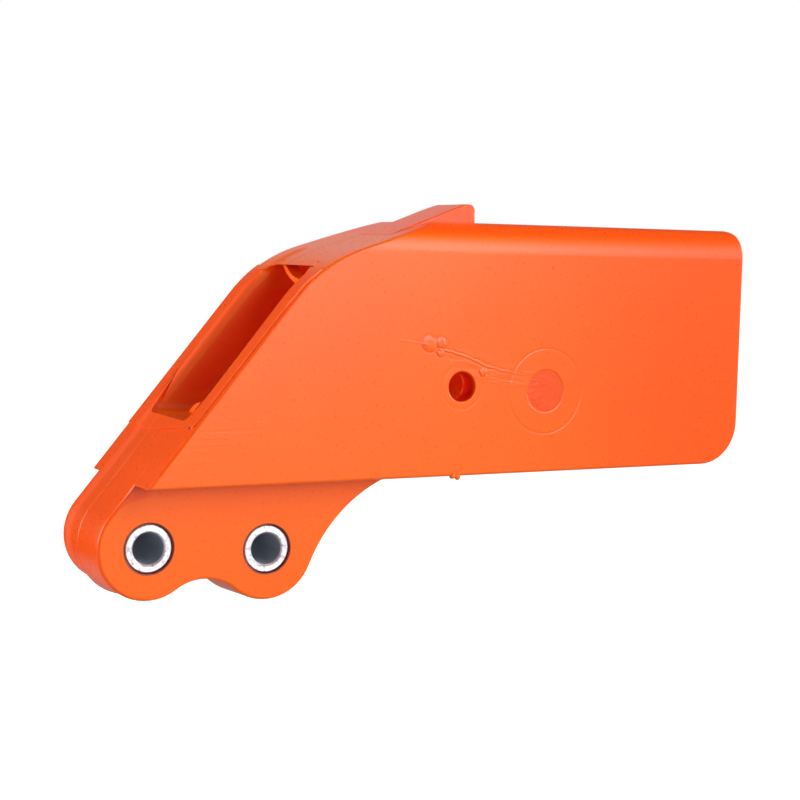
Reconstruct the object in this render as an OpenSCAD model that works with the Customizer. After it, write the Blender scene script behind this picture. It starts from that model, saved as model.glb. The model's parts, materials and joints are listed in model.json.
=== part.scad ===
// Chain guide of an off-road motorcycle: a hollow moulded block that hangs under the swingarm and
// keeps the chain in line with the sprocket, with two pressed-in steel spacer bushings in its ear.
// The side profile lies in X and Z, the width in Y. The origin is the middle of the rear bushing.

/* [Bushings] */
// Outside diameter of a spacer bushing
bushing_d = 10; // [9:0.1:11]
// Inside diameter, the clearance hole of an M6 bolt
bushing_bore_d = 6.5; // [6.3:0.1:7]
// Distance between the two bushing axes
bolt_spacing = 25.3; // [24:0.1:30]
// Fall of the bolt line towards the front, in degrees
bolt_line_fall = 3.6; // [0:0.1:6]
// Depth of each bushing end below the face of the ear
bushing_recess = 0.3; // [0:0.05:0.8]
// Chamfer at the rims of a bushing
bushing_chamfer = 0.35; // [0.1:0.05:0.6]

/* [Ear] */
// Width of the ear that holds the bushings
ear_w = 23.5; // [20:0.5:26]
// Radius of the ear round each bushing
lobe_r = 10.5; // [9:0.1:12]
// Radius of the hollow between the two lobes
valley_r = 10; // [6:0.5:14]
// Radius of the sweep from the front lobe up to the body
sweep_r = 31.5; // [26:0.5:36]
// Fall of the line from the front lobe's middle to the sweep's, in degrees
sweep_a = 22; // [18:0.5:24]
// Distance of the mould's parting line from the near face of the ear
parting = 13.2; // [10:0.1:15]
// Growth of the lobes from the ear's faces to the parting line
draft = 0.7; // [0.3:0.1:1]

/* [Body] */
// Length from the foot of the slope to the front end
body_len = 142.7; // [130:0.1:160]
// Height from the underside to the flat top
body_h = 53.3; // [50:0.1:60]
// Height of the underside above the rear bushing axis
body_z = 12.7; // [11:0.1:16]
// Distance the near side stands out beyond the ear
near_step = 7.5; // [4:0.5:9]
// Distance the far side stands out beyond the ear
far_step = 3.5; // [2:0.5:6]
// Steepness of the rear slope, in degrees
slope_a = 50.7; // [45:0.1:56]
// Steepness of the ramp above the slope, in degrees
ramp_a = 17.8; // [12:0.1:24]
// Height above the underside where slope and ramp would cross
nose_h = 44.5; // [42:0.1:46]
// Radius that blends the slope into the ramp
nose_r = 32; // [20:1:36]
// Radius of the front top corner, seen from the side
front_top_r = 1.5; // [1:0.5:6]
// Radius of the front bottom corner, seen from the side
front_bottom_r = 9.5; // [5:0.5:12]
// Radius along the long near edge of the top
near_edge_r = 6.5; // [3:0.5:8]
// Radius along the long far edge of the top
far_edge_r = 6.5; // [3:0.5:8]

/* [Chain channel] */
// Thickness of the near side wall
near_wall = 5.4; // [4:0.1:8]
// Clear width of the channel for a 520 chain
channel_w = 21.8; // [18:0.1:24]
// Thickness of the floor
floor_t = 12.6; // [10:0.1:14]
// Clear height of the channel
channel_h = 31; // [28:0.5:33]
// Radius in the corners of the channel
channel_r = 2; // [1:0.5:4]
// Width of the arched bridge under the channel's roof
arch_w = 18; // [14:0.5:20]
// Depth of the arched bridge
arch_drop = 4; // [2:0.1:5]
// Thickness of the arched bridge
arch_t = 1.1; // [0.8:0.1:1.6]
// Height of the hump on the channel's floor, which has the radius of the bridge
hump_h = 2.6; // [1:0.1:4]
// Length of bridge and hump along the channel
arch_len = 2.8; // [2:0.1:6]

/* [Mouth of the channel] */
// Height that the rim round the mouth stands out of the slope
rim_h = 0.4; // [0.2:0.1:1]
// Distance of the rim from each side of the body
rim_inset = 0.7; // [0.3:0.1:2]
// Height of the band under the mouth at its near end
band_near = 0.8; // [0.5:0.1:3]
// Height of the band under the mouth from its middle to its far end
band_far = 4; // [2:0.1:6]

/* [Tab] */
// Height of the tab above the flat top
tab_h = 3.9; // [2:0.1:6]
// Width of the tab
tab_w = 13.8; // [10:0.1:18]
// Distance of the tab's upright end from the foot of the slope
tab_end = 75; // [70:0.5:85]
// Steepness of the tab's upper face, in degrees
tab_a = 21; // [18:0.5:26]
// Radius of the tab's far corner, seen from above
tab_corner_r = 6; // [2:0.5:7]

/* [Side hole] */
// Diameter of the hole in the near side wall
hole_d = 6.4; // [5:0.1:8]
// Distance of the hole from the foot of the slope
hole_x = 69.1; // [60:0.1:80]
// Height of the hole above the underside
hole_h = 18.9; // [17:0.1:26]

/* [Hidden] */
$fn = 96;
orange = "#FF6A1F";
steel = "#C9CDD1";
over = 1;

bushing_len = ear_w - 2 * bushing_recess;
rear_axis = [0, 0];
front_axis = bolt_spacing * [cos(bolt_line_fall), -sin(bolt_line_fall)];

near_y = -ear_w / 2 - near_step;
far_y = ear_w / 2 + far_step;
channel_y0 = near_y + near_wall;
channel_y1 = channel_y0 + channel_w;
channel_mid = (channel_y0 + channel_y1) / 2;
top_z = body_z + body_h;
floor_z = body_z + floor_t;
roof_z = floor_z + channel_h;

// The slope is tangent to the rear lobe, so the ear and the body share one rear face
slope_dir = [cos(slope_a), sin(slope_a)];
slope_out = [-sin(slope_a), cos(slope_a)];
slope_touch = lobe_r * slope_out;
function on_slope(z) = slope_touch + slope_dir * (z - slope_touch[1]) / slope_dir[1];
foot = on_slope(body_z);
front_x = foot[0] + body_len;
nose = on_slope(body_z + nose_h);
crest = nose + [1, tan(ramp_a)] * (top_z - nose[1]) / tan(ramp_a);

// Corners of the side profile as x, z and the radius of the corner
profile = [
    [foot[0], foot[1], 0],
    [front_x, body_z, front_bottom_r],
    [front_x, top_z, front_top_r],
    [crest[0], crest[1], 0],
    [nose[0], nose[1], nose_r]
];

function unit(v) = v / norm(v);
function flat2(p) = [p[0], p[1]];
function around(list, i) = flat2(list[(i + len(list)) % len(list)]);
// Unit directions from corner i to the corner before it and to the corner after it
function back_dir(list, i) = unit(around(list, i - 1) - around(list, i));
function next_dir(list, i) = unit(around(list, i + 1) - around(list, i));
function half_angle(list, i) = acos(back_dir(list, i) * next_dir(list, i)) / 2;
// Points where the arc of corner i touches its two sides, and the arc's centre
function touch(list, i) = let (t = list[i][2] / tan(half_angle(list, i)))
    [around(list, i) + t * back_dir(list, i), around(list, i) + t * next_dir(list, i)];
function arc_centre(list, i) = around(list, i)
    + unit(back_dir(list, i) + next_dir(list, i)) * list[i][2] / sin(half_angle(list, i));

// A polygon whose corners are true arcs
module rounded(list) {
    polygon([for (i = [0 : len(list) - 1]) each list[i][2] > 0 ? touch(list, i) : [flat2(list[i])]]);
    for (i = [0 : len(list) - 1])
        if (list[i][2] > 0)
            intersection() {
                translate(arc_centre(list, i)) circle(r = list[i][2]);
                polygon([arc_centre(list, i), touch(list, i)[0], around(list, i), touch(list, i)[1]]);
            }
}

// Extrudes a profile drawn in X and Z from y0 to y1
module along_y(y0, y1) translate([0, y1, 0]) rotate([90, 0, 0]) linear_extrude(y1 - y0) children();

// Extrudes a section drawn in Y and Z from x0 to x1
module along_x(x0, x1) translate([x0, 0, 0]) rotate([90, 0, 90]) linear_extrude(x1 - x0) children();

// Outer section of the body, with the two long top edges rounded
module body_section() rounded([
    [near_y, body_z - over, 0],
    [far_y, body_z - over, 0],
    [far_y, top_z, far_edge_r],
    [near_y, top_z, near_edge_r]
]);

module block() intersection() {
    along_y(near_y, far_y) rounded(profile);
    along_x(foot[0] - over, front_x + over) body_section();
}

// Raised rim round the mouth, drawn on the slope as distance along it and width, and made by
// lifting the side profile out of the slope
module mouth_rim() {
    s_floor = norm(on_slope(floor_z) - foot);
    s_roof = norm(on_slope(roof_z) - foot) + rim_h;
    y0 = near_y + rim_inset;
    y1 = far_y - rim_inset;
    intersection() {
        translate(rim_h * [slope_out[0], 0, slope_out[1]]) along_y(y0, y1) rounded(profile);
        translate([foot[0], 0, foot[1]]) rotate([0, -slope_a, 0]) translate([0, 0, -8])
            linear_extrude(20) polygon([
                [s_floor - band_near, y0],
                [s_floor - band_far, channel_mid + 3],
                [s_floor - band_far, y1],
                [s_roof, y1],
                [s_roof, y0]
            ]);
    }
}

// Wedge on top that carries the ramp on and ends in an upright face
module tab() {
    top = top_z + tab_h;
    end_x = foot[0] + tab_end;
    rise_x = end_x - 2.6;
    y0 = near_y + near_edge_r;
    y1 = y0 + tab_w;
    foot_x = rise_x - (tab_h + 3) / tan(tab_a);
    intersection() {
        along_y(y0, y1) rounded([
            [foot_x, top - tab_h - 3, 0],
            [end_x, top - tab_h - 3, 0],
            [end_x, top, 1.3],
            [rise_x, top, 0]
        ]);
        translate([0, 0, top_z - 6]) linear_extrude(tab_h + 8) rounded([
            [foot_x - over, y0 - over, 0],
            [end_x, y0 - over, 0],
            [end_x, y1, tab_corner_r],
            [foot_x - over, y1, 0]
        ]);
    }
}

// Ear with two lobes, cut from a plate by the valley and sweep circles
module ear() {
    valley_reach = lobe_r + valley_r;
    valley_drop = sqrt(pow(valley_reach, 2) - pow(bolt_spacing / 2, 2));
    valley = front_axis / 2 + valley_drop * [-sin(bolt_line_fall), -cos(bolt_line_fall)];
    sweep = front_axis + (lobe_r + sweep_r) * [cos(sweep_a), -sin(sweep_a)];
    sweep_x = sweep[0] - sqrt(pow(sweep_r, 2) - pow(body_z - sweep[1], 2));
    along_y(-ear_w / 2, ear_w / 2) {
        translate(rear_axis) circle(r = lobe_r);
        translate(front_axis) circle(r = lobe_r);
        difference() {
            polygon([
                rear_axis, slope_touch, foot, foot + [10, 6], [sweep_x, body_z + 6], [sweep_x, body_z],
                sweep, front_axis, valley
            ]);
            translate(sweep) circle(r = sweep_r, $fn = 192);
            translate(valley) circle(r = valley_r);
        }
    }
}

// Cone pair that swells a lobe from both faces of the ear to the parting line
module lobe_swell(middle, r_face, r_parting) {
    y0 = -ear_w / 2 + 0.5;
    y1 = -ear_w / 2 + parting;
    y2 = ear_w / 2 - 0.5;
    translate([middle[0], y1, middle[1]]) rotate([90, 0, 0]) cylinder(h = y1 - y0, r1 = r_parting, r2 = r_face);
    translate([middle[0], y2, middle[1]]) rotate([90, 0, 0]) cylinder(h = y2 - y1, r1 = r_face, r2 = r_parting);
}

// Draft of the two lobes. The rear lobe's swell leans away from the slope, which stays flat
module lobe_draft() {
    lean = draft + 0.05;
    lobe_swell(front_axis, lobe_r - 0.05, lobe_r + draft);
    lobe_swell(rear_axis - lean * slope_out, lobe_r - lean - 0.05, lobe_r + draft - 0.05);
}

// Space for the chain, open through the slope and through the front end
module channel() along_x(foot[0] - 20, front_x + over) rounded([
    [channel_y0, floor_z, channel_r],
    [channel_y1, floor_z, channel_r],
    [channel_y1, roof_z, channel_r],
    [channel_y0, roof_z, channel_r]
]);

// Radius of an arc that is arch_w wide and falls by arch_drop in its middle
arch_r = (pow(arch_w / 2, 2) + pow(arch_drop, 2)) / (2 * arch_drop);

// Thin bridge that hangs from wall to wall just behind the upper lip of the mouth
module roof_bridge() {
    bridge_x = on_slope(roof_z)[0] + 3;
    along_x(bridge_x, bridge_x + arch_len) intersection() {
        difference() {
            translate([channel_mid, roof_z - arch_drop + arch_r]) circle(r = arch_r);
            translate([channel_mid, roof_z - arch_drop + arch_r]) circle(r = arch_r - arch_t);
        }
        translate([channel_mid - arch_w / 2, roof_z - 2 * arch_drop])
            square([arch_w, 2 * arch_drop + over]);
    }
}

// Low hump across the floor, just inside the mouth
module floor_hump() {
    hump_x = on_slope(floor_z)[0] + 7;
    along_x(hump_x, hump_x + arch_len) intersection() {
        translate([channel_mid, floor_z + hump_h - arch_r]) circle(r = arch_r);
        translate([channel_mid - arch_w / 2, floor_z - over]) square([arch_w, hump_h + 2 * over]);
    }
}

module guide_body() color(orange) difference() {
    union() {
        difference() {
            union() {
                block();
                mouth_rim();
                tab();
            }
            channel();
        }
        ear();
        lobe_draft();
        roof_bridge();
        floor_hump();
    }
    for (axis = [rear_axis, front_axis])
        translate([axis[0], 0, axis[1]]) rotate([90, 0, 0]) cylinder(d = bushing_d, h = ear_w + 2 * over, center = true);
    translate([foot[0] + hole_x, channel_y0 + over, body_z + hole_h]) rotate([90, 0, 0])
        cylinder(d = hole_d, h = near_wall + 2 * over);
}

// Steel spacer with chamfered rims, turned as one ring
module bushing(axis) color(steel) translate([axis[0], 0, axis[1]]) rotate([90, 0, 0]) rotate_extrude() {
    r0 = bushing_bore_d / 2;
    r1 = bushing_d / 2;
    h = bushing_len / 2;
    c = bushing_chamfer;
    polygon([
        [r0, -h + c], [r0 + c, -h], [r1 - c, -h], [r1, -h + c],
        [r1, h - c], [r1 - c, h], [r0 + c, h], [r0, h - c]
    ]);
}

module rear_bushing() bushing(rear_axis);
module front_bushing() bushing(front_axis);

guide_body();
rear_bushing();
front_bushing();
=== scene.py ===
"""Looks of a moulded chain guide with two steel bushings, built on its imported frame.

Lengths in the values below are millimetres and angles are degrees, unless a name says otherwise.
The body's side profile lies in X and Z. Its near side, with the hole, faces -Y.
"""

import json
import math

import bmesh
import bpy
from mathutils import Matrix, Vector

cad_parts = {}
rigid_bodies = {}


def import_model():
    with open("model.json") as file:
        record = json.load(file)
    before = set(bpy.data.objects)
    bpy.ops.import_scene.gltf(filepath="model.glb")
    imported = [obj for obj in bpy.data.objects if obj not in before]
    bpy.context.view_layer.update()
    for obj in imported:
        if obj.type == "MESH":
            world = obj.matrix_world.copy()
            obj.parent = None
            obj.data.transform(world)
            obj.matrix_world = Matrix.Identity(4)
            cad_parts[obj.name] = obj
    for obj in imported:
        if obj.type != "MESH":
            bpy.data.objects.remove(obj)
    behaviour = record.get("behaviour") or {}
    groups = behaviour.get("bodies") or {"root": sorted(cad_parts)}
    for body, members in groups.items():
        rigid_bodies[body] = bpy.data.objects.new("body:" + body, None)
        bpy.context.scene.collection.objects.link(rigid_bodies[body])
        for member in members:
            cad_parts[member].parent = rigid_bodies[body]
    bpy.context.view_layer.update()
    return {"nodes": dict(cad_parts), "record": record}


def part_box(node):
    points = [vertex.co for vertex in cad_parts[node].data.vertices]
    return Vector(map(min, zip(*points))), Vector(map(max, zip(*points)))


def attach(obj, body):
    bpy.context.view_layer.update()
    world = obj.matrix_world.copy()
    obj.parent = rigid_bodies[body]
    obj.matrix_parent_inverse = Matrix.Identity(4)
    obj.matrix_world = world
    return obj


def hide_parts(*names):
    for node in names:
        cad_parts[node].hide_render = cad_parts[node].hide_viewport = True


MM = 0.001
UP = Vector((0, 0, 1))

# Camera, fitted to the bushings, the hole and the long edges of the near side
CAMERA_AT = Vector((-108.6, -320.6, 60.0))
CAMERA_AZIMUTH = 27.94
CAMERA_ELEVATION = 5.17
CAMERA_ROLL = 1.36
CAMERA_LENS = 74.8

# Sizes of the body that its finish follows
NEAR_WALL = 5.4
CHANNEL_WIDTH = 21.8
UNDERSIDE = 12.7
FLOOR_HEIGHT = 25.3
ROOF_HEIGHT = 56.3
TOP_HEIGHT = 66.0
TOP_BAND = 2.6
NOSE_END = 43.0
SLOPE_ANGLE = 50.7
NEAR_STEP = 7.5
PARTING = 13.2
BORE_RADIUS = 3.25
BUSHING_RADIUS = 5.0
HOLE_RADIUS = 3.2

# Rounding of the body's edges
EDGE_ROUND = 0.4
PLATE_ROUND = 0.6
EAR_ROUND = 0.6
RISER_ROUND = 0.15
LIP_ROUND = 0.15
BORE_ROUND = 0.25
NEAR_LIP_ROUND = 0.5
FAR_LIP_ROUND = 1.8
ROUND_SEGMENTS = 4
SHARP_ANGLE = 24.0
FLAT_ANGLE = 0.4
MERGE = 0.005

# Marks of the mould on the near face, as places in X and Z
GATE = (86.7, 30.3)
GATE_RING = 9.2
GATE_DISC = 4.7
WELD_LINE = ((60.2, 39.6), (64.0, 38.7), (67.7, 37.6), (71.4, 36.1), (75.2, 35.0), (81.4, 33.8))
SIDE_LINES = (
    ((62.4, 37.3), (64.4, 34.7)),
    ((69.7, 36.1), (70.7, 34.0)),
    ((70.7, 34.0), (71.6, 31.9)),
    ((72.7, 33.3), (81.5, 31.7)),
    ((51.0, 41.5), (58.0, 40.4)),
)
FLASH_BLOBS = ((57.9, 40.7, 1.7), (60.7, 40.8, 1.3), (60.4, 38.9, 0.9), (71.0, 34.6, 1.0))
SPECK = (87.6, 56.7)

# Crown of the slope: how far it reaches from the near edge, and its rise
PLATE_CROWN = 7.0
EAR_CROWN = 5.0
CROWN_RISE = 0.014

# Lumps of flash, as places and half sizes
FLASH_LUMPS = (
    ((64.6, -18.7, 12.75), (0.9, 0.5, 0.6)),
    ((65.6, -18.8, 12.55), (0.7, 0.4, 0.75)),
    ((6.3, -18.3, 24.6), (0.35, 0.5, 0.35)),
    ((6.9, -17.2, 25.0), (0.3, 0.45, 0.3)),
    ((6.1, -16.4, 24.3), (0.25, 0.4, 0.3)),
    ((65.3, -14.1, 28.6), (0.9, 0.25, 0.35)),
)

# Room
FLOOR_DROP = 60.0
FLOOR_SIZE = 6000.0


def clear_room():
    for spare in list(bpy.data.objects):
        bpy.data.objects.remove(spare)


clear_room()
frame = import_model()
low, high = (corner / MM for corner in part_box("guide_body"))
mounts = {mount["name"]: Vector(mount["pos_m"]) / MM for mount in frame["record"]["mounts"]}
rear = mounts["rear_bushing_bore"]
front = mounts["front_bushing_bore"]
hole = mounts["side_hole"]
near_face = low.y
ear_face = near_face + NEAR_STEP
channel_near = near_face + NEAR_WALL
channel_far = channel_near + CHANNEL_WIDTH
channel_middle = Vector((0, (channel_near + channel_far) / 2, 0))
ear_half = abs(ear_face)
parting_place = ear_face + PARTING
slope_reach = rear.x - low.x


# Shader expressions

class Value:
    """A shader socket that Python's operators turn into Math nodes."""

    def __init__(self, tree, socket):
        self.tree = tree
        self.socket = socket

    def math(self, operation, *others):
        node = self.tree.nodes.new("ShaderNodeMath")
        node.operation = operation
        for slot, item in zip(node.inputs, (self, *others)):
            put(self.tree, slot, item)
        return Value(self.tree, node.outputs[0])

    def __add__(self, other):
        return self.math("ADD", other)

    def __radd__(self, other):
        return self.math("ADD", other)

    def __sub__(self, other):
        return self.math("SUBTRACT", other)

    def __rsub__(self, other):
        return self * -1 + other

    def __mul__(self, other):
        return self.math("MULTIPLY", other)

    def __rmul__(self, other):
        return self.math("MULTIPLY", other)

    def __truediv__(self, other):
        return self.math("DIVIDE", other)

    def __neg__(self):
        return self * -1

    def __abs__(self):
        return self.math("ABSOLUTE")

    def least(self, other):
        return self.math("MINIMUM", other)

    def most(self, other):
        return self.math("MAXIMUM", other)

    def squared(self):
        return self * self

    def root(self):
        return self.math("SQRT")

    def ease(self, start, end):
        """0 at start, 1 at end, with soft ends. start may be the larger."""
        node = self.tree.nodes.new("ShaderNodeMapRange")
        node.interpolation_type = "SMOOTHSTEP"
        for name, item in (("Value", self), ("From Min", start), ("From Max", end)):
            put(self.tree, node.inputs[name], item)
        return Value(self.tree, node.outputs[0])

    def ridge(self, middle, width):
        """1 where the value is middle, falling to 0 at half the width on each side."""
        return abs(self - middle).ease(width / 2, 0)

    def between(self, start, end, soft):
        """1 between start and end, with edges of the given softness."""
        return self.ease(start - soft, start + soft) * self.ease(end + soft, end - soft)


def put(tree, slot, item):
    if isinstance(item, Value):
        tree.links.new(item.socket, slot)
    else:
        slot.default_value = item


class Finish:
    """A node tree that is put together from expressions, for a material or the world."""

    def __init__(self, owner):
        self.owner = owner
        owner.use_nodes = True
        self.tree = owner.node_tree
        self.tree.nodes.clear()

    def node(self, kind, settings=None, output=0, **inputs):
        node = self.tree.nodes.new(kind)
        for name, setting in (settings or {}).items():
            setattr(node, name, setting)
        for name, item in inputs.items():
            put(self.tree, node.inputs[name.replace("_", " ")], item)
        return Value(self.tree, node.outputs[output])

    def vector_math(self, operation, vector, other):
        node = self.tree.nodes.new("ShaderNodeVectorMath")
        node.operation = operation
        put(self.tree, node.inputs[0], vector)
        if operation == "SCALE":
            node.inputs["Scale"].default_value = other
        else:
            put(self.tree, node.inputs[1], other)
        return Value(self.tree, node.outputs[0])

    def parts(self, vector):
        node = self.tree.nodes.new("ShaderNodeSeparateXYZ")
        put(self.tree, node.inputs[0], vector)
        return [Value(self.tree, axis) for axis in node.outputs]

    def place(self):
        """The point on the object in millimetres."""
        point = self.node("ShaderNodeTexCoord", output="Object")
        return self.vector_math("SCALE", point, 1 / MM)

    def noise(self, vector, scale, detail=3.0, rough=0.5, stretch=None):
        if stretch:
            vector = self.vector_math("MULTIPLY", vector, stretch)
        return self.node("ShaderNodeTexNoise", Vector=vector, Scale=scale, Detail=detail, Roughness=rough)

    def mix(self, factor, first, second):
        node = self.tree.nodes.new("ShaderNodeMix")
        node.data_type = "RGBA"
        for name, item in (("Factor_Float", factor), ("A_Color", first), ("B_Color", second)):
            put(self.tree, next(slot for slot in node.inputs if slot.identifier == name), item)
        return Value(self.tree, next(slot for slot in node.outputs if slot.identifier == "Result_Color"))

    def bump(self, height, strength=1.0):
        """A normal from a height in millimetres."""
        return self.node("ShaderNodeBump", Height=height, Distance=MM, Strength=strength)

    def surface(self, shader):
        put(self.tree, self.tree.nodes.new("ShaderNodeOutputMaterial").inputs["Surface"], shader)
        return self.owner


def rgb(code):
    """A colour from its hexadecimal screen code."""
    levels = [int(code[i:i + 2], 16) / 255 for i in (1, 3, 5)]
    return tuple(v / 12.92 if v < 0.04045 else ((v + 0.055) / 1.055) ** 2.4 for v in levels) + (1.0,)


def from_point(u, v, place):
    """Distance from a point in the plane of u and v."""
    return ((u - place[0]).squared() + (v - place[1]).squared()).root()


def from_segment(u, v, start, end):
    """Distance from a straight line between two points in the plane of u and v."""
    step = Vector(end) - Vector(start)
    share = step / step.length_squared
    along = ((u - start[0]) * share.x + (v - start[1]) * share.y).most(0).least(1)
    return ((u - start[0] - along * step.x).squared() + (v - start[1] - along * step.y).squared()).root()


# Materials

def gate_mark(x, z, swirl):
    """Height, disc and ring of the round gate mark on the near face."""
    radius = from_point(x, z, GATE)
    ring = radius.ridge(GATE_RING, 0.8)
    disc = (radius + (swirl - 0.5) * 0.5).ease(GATE_DISC + 0.2, GATE_DISC - 0.2)
    strokes = ((x + z) * 1.1 + (z - x) * 0.35 + swirl * 7).math("SINE") * disc
    return disc * -0.08 - ring * 0.04 + strokes * 0.014, disc, ring


def nearest(u, v, lines):
    """Distance from the nearest of several straight lines."""
    reach = None
    for start, end in lines:
        line = from_segment(u, v, start, end)
        reach = line if reach is None else reach.least(line)
    return reach


def weld_marks(x, z, jitter):
    """Distances from the cold flow line, from its side lines and from its blobs, in their own widths."""
    wave = (jitter - 0.5) * 2.2
    line = nearest(x, z + wave * 0.5, list(zip(WELD_LINE, WELD_LINE[1:])))
    fine = nearest(x + wave * 0.3, z, SIDE_LINES)
    blob = None
    for across, up, size in FLASH_BLOBS:
        lump = from_point(x + wave * 0.5, z, (across, up)) / size + wave * 0.3
        blob = lump if blob is None else blob.least(lump)
    return line, fine, blob


def crown_height(x, y, z, reach):
    """Rise of the slope away from its near edge, on the plate and on the ear."""
    on_slope = reach.ease(slope_reach - 0.35, slope_reach - 0.1) * reach.ease(slope_reach + 0.25, slope_reach + 0.05)
    under_band = z.ease(FLOOR_HEIGHT, FLOOR_HEIGHT - 0.5) * on_slope
    nose = from_point(x, z, (rear.x, rear.z)).ease(slope_reach - 0.35, slope_reach - 0.1) * x.ease(0, -2)
    crowned = under_band.most(nose * z.ease(UNDERSIDE, UNDERSIDE - 1)) * y.ease(10.8, 0)
    plate = PLATE_CROWN ** 2 - (PLATE_CROWN - (y - near_face).most(0)).most(0).squared()
    ear = EAR_CROWN ** 2 - (EAR_CROWN - (y - ear_face).most(0)).most(0).squared()
    share = z.ease(UNDERSIDE, UNDERSIDE + 5)
    return (plate * share + ear * (1 - share)) * crowned * CROWN_RISE


def moulded_orange():
    finish = Finish(bpy.data.materials.new("moulded_orange"))
    point = finish.place()
    x, y, z = finish.parts(point)
    slope = math.radians(SLOPE_ANGLE)
    reach = z * math.cos(slope) - x * math.sin(slope)

    cloud = finish.noise(point, 0.03, 2.0)
    grain = finish.noise(point, 1.6, 2.0, 0.5)
    drag = finish.noise(point, 0.5, 3.0, 0.6, stretch=(0.2, 1.0, 2.2))
    jitter = finish.noise(point, 0.8, 3.0, 0.6)

    # Parting line of the mould round the part: a fine step with the far half proud. Its colour also carries a
    # painted shade line below the step and a painted highlight line along it.
    step = y.ease(parting_place - 0.7, parting_place - 0.1)
    seam = y.ridge(parting_place - 0.5, 0.9)
    ridge = y.ridge(parting_place + 0.3, 1.0)

    near = y.ease(near_face + 0.5, near_face + 0.1)
    gate_height, disc, gate_ring = gate_mark(x, z, jitter)
    line, fine, blob = weld_marks(x, z, jitter)
    fade = x.ease(84, 66) * 0.7 + 0.3
    flow = from_segment(x, z, (62, 38.5), (83, 32)).ease(4.5, 0.5) * (drag - 0.5)
    line_height = (line.ridge(0, 0.45) * 0.05 - line.ridge(0.4, 0.5) * 0.04) * fade
    blob_height = blob.ease(1.05, 0.4) * 0.13 - blob.ridge(1.1, 0.4) * 0.05
    speck = from_point(x, z, SPECK).ease(0.5, 0.3)
    halo = from_point(x, z, (hole.x, hole.z)).ridge(HOLE_RADIUS + 1.5, 1.2)
    marks = gate_height + line_height + fine.ridge(0, 0.5) * 0.03 + blob_height + flow * 0.12
    marks = (marks - speck * 0.08 - halo * 0.025) * near

    # Scuffs on the lower rear corner of the near face
    scuffed = near * from_segment(x, z, (0, 14), (17, 26)).ease(9, 2)
    height = step * 0.08 - seam * 0.05 + crown_height(x, y, z, reach) + marks
    height = height + scuffed * (drag - 0.5) * 0.05 + grain * 0.01 + drag * 0.006

    # Darker tone of the mould marks: the speck's own colour, and painted shade on the gate disc, in the grooves
    # beside the cold flow line, round the blobs and the gate ring, and along the parting step
    mark_tone_and_shade = disc * 0.8 + line.ridge(0.4, 0.5) * fade * 0.4 + blob.ridge(1.05, 0.4) * 0.7
    mark_tone_and_shade = (mark_tone_and_shade + speck * 0.8 + gate_ring * 0.15) * near + seam * 0.35
    colour = finish.mix(cloud.ease(0.35, 0.7), rgb("#FF6200"), rgb("#FF6602"))
    colour = finish.mix(drag.ease(0.55, 0.8) * 0.25, colour, rgb("#FF6C0A"))
    # Painted shade: redder plastic towards the right end, where the face reflects less light
    colour = finish.mix(x.ease(70, 130), colour, rgb("#FF5800"))
    # Painted shade: redder plastic on the slope, the nose and the top band, where less light is reflected
    nose = from_point(x, z, (rear.x, rear.z)).ease(slope_reach - 0.5, slope_reach - 0.2) * x.ease(1, -1)
    slope_nose_top_shade = reach.ease(slope_reach - 0.8, slope_reach - 0.3).most(nose * z.ease(UNDERSIDE, UNDERSIDE - 1))
    slope_nose_top_shade = slope_nose_top_shade.most(z.ease(TOP_HEIGHT - TOP_BAND - 0.6, TOP_HEIGHT - TOP_BAND + 0.6))
    colour = finish.mix(slope_nose_top_shade, colour, rgb("#FF5400"))
    colour = finish.mix(mark_tone_and_shade.least(1), colour, rgb("#F24A00"))
    # Painted highlight: a paler line along the proud edge of the parting step
    colour = finish.mix(ridge * 0.3, colour, rgb("#FF7C2C"))
    # Painted shade: redder, darker plastic inside the channel, away from the mouth, its floor and its roof
    inside = y.between(channel_near, channel_far, 0.1) * reach.ease(slope_reach - 0.9, slope_reach - 2.8)
    inside = inside * z.ease(FLOOR_HEIGHT + 2.5, FLOOR_HEIGHT + 5) * z.ease(ROOF_HEIGHT - 4.4, ROOF_HEIGHT - 6)
    colour = finish.mix(inside, colour, rgb("#FF4000"))
    lip = y.ridge(channel_far, 6.0) * x.ease(NOSE_END, NOSE_END - 4)
    round_hole = from_point(x, z, (hole.x, hole.z)).ease(HOLE_RADIUS + 0.3, HOLE_RADIUS + 0.1)
    round_hole = round_hole * y.ease(channel_near + 0.5, channel_near + 0.2)
    # Painted shade: deeper red on the wall of the side hole, back from the near face
    colour = finish.mix(round_hole * y.ease(near_face + 0.3, near_face + 1.5), colour, rgb("#F02800"))
    burr = y.ease(channel_near - 0.7, channel_near - 0.3) * (1 - y.ease(channel_near + 0.1, channel_near + 0.3))
    colour = finish.mix(round_hole * burr * jitter.ease(0.4, 0.6), colour, rgb("#FFA060"))
    # Painted shade: dark red-brown round the bores, where the bushings sit in the ear
    ring = from_point(x, z, (rear.x, rear.z)).least(from_point(x, z, (front.x, front.z)))
    colour = finish.mix(ring.ease(BUSHING_RADIUS + 0.45, BUSHING_RADIUS + 0.15), colour, rgb("#7A1A05"))

    return finish.surface(finish.node(
        "ShaderNodeBsdfPrincipled",
        Base_Color=colour,
        Roughness=grain * 0.1 + 0.24 + lip * 0.3,
        Normal=finish.bump(height),
        IOR=1.45,
    ))


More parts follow.
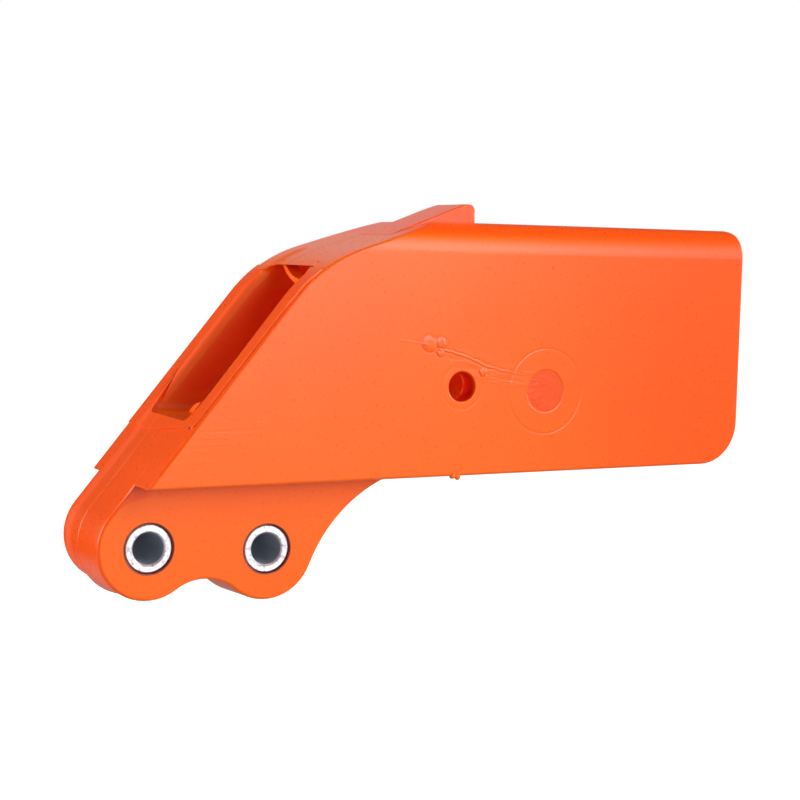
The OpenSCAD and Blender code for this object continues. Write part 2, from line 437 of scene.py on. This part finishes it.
def turned_steel():
    finish = Finish(bpy.data.materials.new("turned_steel"))
    point = finish.place()
    x, y, z = finish.parts(point)
    radius = from_point(x, z, (rear.x, rear.z)).least(from_point(x, z, (front.x, front.z)))
    scuff = finish.noise(point, 1.3, 5.0, 0.7)
    turning = (radius * 26 + scuff * 5).math("SINE")
    bore = radius.ease(BORE_RADIUS + 0.12, BORE_RADIUS + 0.04)
    rub = scuff.ease(0.5, 0.62)
    colour = finish.mix(rub * 0.7, rgb("#F2EDF2"), rgb("#9A9AA6"))
    # Painted shade: dark rim round the bushing's outer edge, where it sits recessed in the ear
    colour = finish.mix(radius.ease(BUSHING_RADIUS - 0.25, BUSHING_RADIUS - 0.05), colour, rgb("#4A4448"))
    colour = finish.mix(bore, colour, rgb("#B4BAC4"))
    return finish.surface(finish.node(
        "ShaderNodeBsdfPrincipled",
        Base_Color=colour,
        Metallic=bore * -0.5 + 0.85,
        Roughness=scuff * 0.25 + 0.3 + bore * 0.1,
        Normal=finish.bump(scuff * 0.06 + turning * 0.006),
    ))


# Pieces

def guide_moulding():
    """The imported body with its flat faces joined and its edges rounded."""
    mesh = bpy.data.meshes.new("guide_moulding")
    shape = bmesh.new()
    shape.from_mesh(frame["nodes"]["guide_body"].data)
    bmesh.ops.remove_doubles(shape, verts=shape.verts, dist=MERGE * MM)
    join_flats(shape)
    weight = shape.edges.layers.float.new("bevel_weight_edge")
    for edge in shape.edges:
        if edge.calc_face_angle() > math.radians(SHARP_ANGLE):
            edge[weight] = edge_round(edge) / FAR_LIP_ROUND
    for face in shape.faces:
        face.smooth = True
    shape.to_mesh(mesh)
    shape.free()
    mesh.set_sharp_from_angle(angle=math.radians(SHARP_ANGLE))
    piece = bpy.data.objects.new("guide_moulding", mesh)
    bpy.context.scene.collection.objects.link(piece)
    rounding = piece.modifiers.new("rounding", "BEVEL")
    rounding.limit_method = "WEIGHT"
    rounding.width = FAR_LIP_ROUND * MM
    rounding.segments = ROUND_SEGMENTS
    rounding.use_clamp_overlap = False
    shading = piece.modifiers.new("shading", "WEIGHTED_NORMAL")
    shading.keep_sharp = True
    shading.weight = 100
    mesh.materials.append(orange)
    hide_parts("guide_body")
    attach(piece, "root")


def mould_flash():
    """Small lumps of flash: a nub under the near edge, and beads at the band's near end."""
    mesh = bpy.data.meshes.new("mould_flash")
    shape = bmesh.new()
    for place, size in FLASH_LUMPS:
        lump = bmesh.ops.create_icosphere(shape, subdivisions=3, radius=MM)
        bmesh.ops.scale(shape, verts=lump["verts"], vec=Vector(size))
        bmesh.ops.rotate(shape, verts=lump["verts"], matrix=Matrix.Rotation(math.radians(-20), 3, "Y"))
        bmesh.ops.translate(shape, verts=lump["verts"], vec=Vector(place) * MM)
    for face in shape.faces:
        face.smooth = True
    shape.to_mesh(mesh)
    shape.free()
    piece = bpy.data.objects.new("mould_flash", mesh)
    bpy.context.scene.collection.objects.link(piece)
    mesh.materials.append(orange)
    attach(piece, "root")


def join_flats(shape):
    """Join the triangles of each flat face, cut through every hole so that no face surrounds one."""
    across, along = Vector((1, 0, 0)), Vector((0, 1, 0))
    cuts = [(rear, across), (front, across), (hole, across), (channel_middle, along)]
    for place, normal in cuts:
        everything = shape.verts[:] + shape.edges[:] + shape.faces[:]
        cut = bmesh.ops.bisect_plane(shape, geom=everything, dist=MERGE * MM, plane_co=place * MM, plane_no=normal)
        for item in cut["geom_cut"]:
            if isinstance(item, bmesh.types.BMEdge):
                item.seam = True
    bmesh.ops.dissolve_limit(
        shape, angle_limit=math.radians(FLAT_ANGLE), verts=shape.verts, edges=shape.edges, delimit={"SEAM"},
    )
    bmesh.ops.recalc_face_normals(shape, faces=shape.faces)


def edge_round(edge):
    """Rounding of one sharp edge of the body, from where it lies."""
    middle = (edge.verts[0].co + edge.verts[1].co) / 2 / MM
    normals = [face.normal for face in edge.link_faces]
    flat = Vector((middle.x, middle.z))
    if min((flat - Vector((axis.x, axis.z))).length for axis in (rear, front)) < BUSHING_RADIUS + 0.2:
        return BORE_ROUND
    if (flat - Vector((hole.x, hole.z))).length < HOLE_RADIUS + 0.2:
        return BORE_ROUND
    if not edge.is_convex:
        return 0
    inside = channel_near + 0.1 < middle.y < channel_far - 0.1
    if inside and FLOOR_HEIGHT - 0.1 < middle.z < ROOF_HEIGHT + 0.1 and middle.x < high.x - 1:
        return 0
    mouth = middle.x < NOSE_END and min(normal.x for normal in normals) < -0.2
    if mouth and abs(middle.y - channel_far) < 0.05:
        return FAR_LIP_ROUND
    if mouth and abs(middle.y - channel_near) < 0.05:
        return NEAR_LIP_ROUND
    if abs(middle.y - near_face) < 0.05:
        return PLATE_ROUND
    if abs(abs(middle.y) - ear_half) < 0.05:
        return EAR_ROUND
    if mouth and middle.z > UNDERSIDE + 1 and abs(middle.y - high.y) > 0.05:
        return RISER_ROUND
    return EDGE_ROUND


# Room

def aim_camera():
    azimuth, elevation, roll = (math.radians(v) for v in (CAMERA_AZIMUTH, CAMERA_ELEVATION, CAMERA_ROLL))
    ahead = Vector((math.sin(azimuth) * math.cos(elevation), math.cos(azimuth) * math.cos(elevation),
                    -math.sin(elevation)))
    level = Vector((math.cos(azimuth), -math.sin(azimuth), 0))
    upright = level.cross(ahead)
    right = math.cos(roll) * level + math.sin(roll) * upright
    top = math.cos(roll) * upright - math.sin(roll) * level
    turn = Matrix((right, top, -ahead)).transposed().to_4x4()
    data = bpy.data.cameras.new("camera")
    data.lens = CAMERA_LENS
    data.sensor_width = 36
    data.clip_start = 0.01
    camera = bpy.data.objects.new("camera", data)
    camera.matrix_world = Matrix.Translation(CAMERA_AT * MM) @ turn
    bpy.context.scene.collection.objects.link(camera)
    bpy.context.scene.camera = camera


def light_room():
    """A white room to the camera, with two large soft boxes in front of the near side."""
    world = bpy.data.worlds.new("studio")
    bpy.context.scene.world = world
    finish = Finish(world)
    x, y, z = finish.parts(finish.node("ShaderNodeTexCoord", output="Generated"))
    height = z.math("ARCSINE") * math.degrees(1)
    turn = x.math("ARCTAN2", -y) * math.degrees(1)
    key_box = turn.between(20, 36, 4) * height.between(9, 50, 4) * 7.6
    key_foot = turn.between(12, 28, 4) * height.between(0, 8, 3) * 11.0
    right_side = turn.between(56, 100, 4) * height.between(4, 30, 4) * 9.6
    low_front = turn.between(0, 20, 4) * height.between(8, 22, 4) * 7.0
    left_side = turn.between(-135, -84, 7) * height.between(-8, 30, 8) * 7.0
    behind = turn.between(148, 172, 8) * height.between(8, 30, 6) * 0.55
    strength = key_box + key_foot + right_side + low_front + left_side + behind + 0.08
    path = finish.tree.nodes.new("ShaderNodeLightPath")
    seen = Value(finish.tree, path.outputs["Is Camera Ray"])
    strength = strength * (1 - seen) + seen
    shader = finish.node("ShaderNodeBackground", Color=(1, 1, 1, 1), Strength=strength)
    put(finish.tree, finish.tree.nodes.new("ShaderNodeOutputWorld").inputs["Surface"], shader)


def lay_floor():
    mesh = bpy.data.meshes.new("floor")
    shape = bmesh.new()
    bmesh.ops.create_grid(shape, x_segments=1, y_segments=1, size=FLOOR_SIZE * MM)
    bmesh.ops.translate(shape, verts=shape.verts, vec=UP * (low.z - FLOOR_DROP) * MM)
    shape.to_mesh(mesh)
    shape.free()
    floor = bpy.data.objects.new("floor", mesh)
    bpy.context.scene.collection.objects.link(floor)
    finish = Finish(bpy.data.materials.new("white_floor"))
    x, y, z = finish.parts(finish.place())
    shaded = (x.ease(250, 700) * y.ease(-300, -700)).most(x.ease(60, -20) * y.ease(150, 260))
    colour = finish.mix(shaded, (0.5, 0.5, 0.5, 1), (0.04, 0.04, 0.04, 1))
    diffuse = finish.node("ShaderNodeBsdfDiffuse", Color=colour)
    seen = finish.node("ShaderNodeLightPath", output="Is Camera Ray")
    glow = finish.node("ShaderNodeEmission", Strength=seen * (shaded * 0.25 + 0.75))
    both = finish.tree.nodes.new("ShaderNodeAddShader")
    put(finish.tree, both.inputs[0], diffuse)
    put(finish.tree, both.inputs[1], glow)
    mesh.materials.append(finish.surface(Value(finish.tree, both.outputs[0])))


orange = moulded_orange()
steel = turned_steel()
for name in ("rear_bushing", "front_bushing"):
    for slot in frame["nodes"][name].material_slots:
        slot.material = steel
guide_moulding()
mould_flash()

aim_camera()
light_room()
lay_floor()
bpy.context.scene.view_settings.view_transform = "Standard"
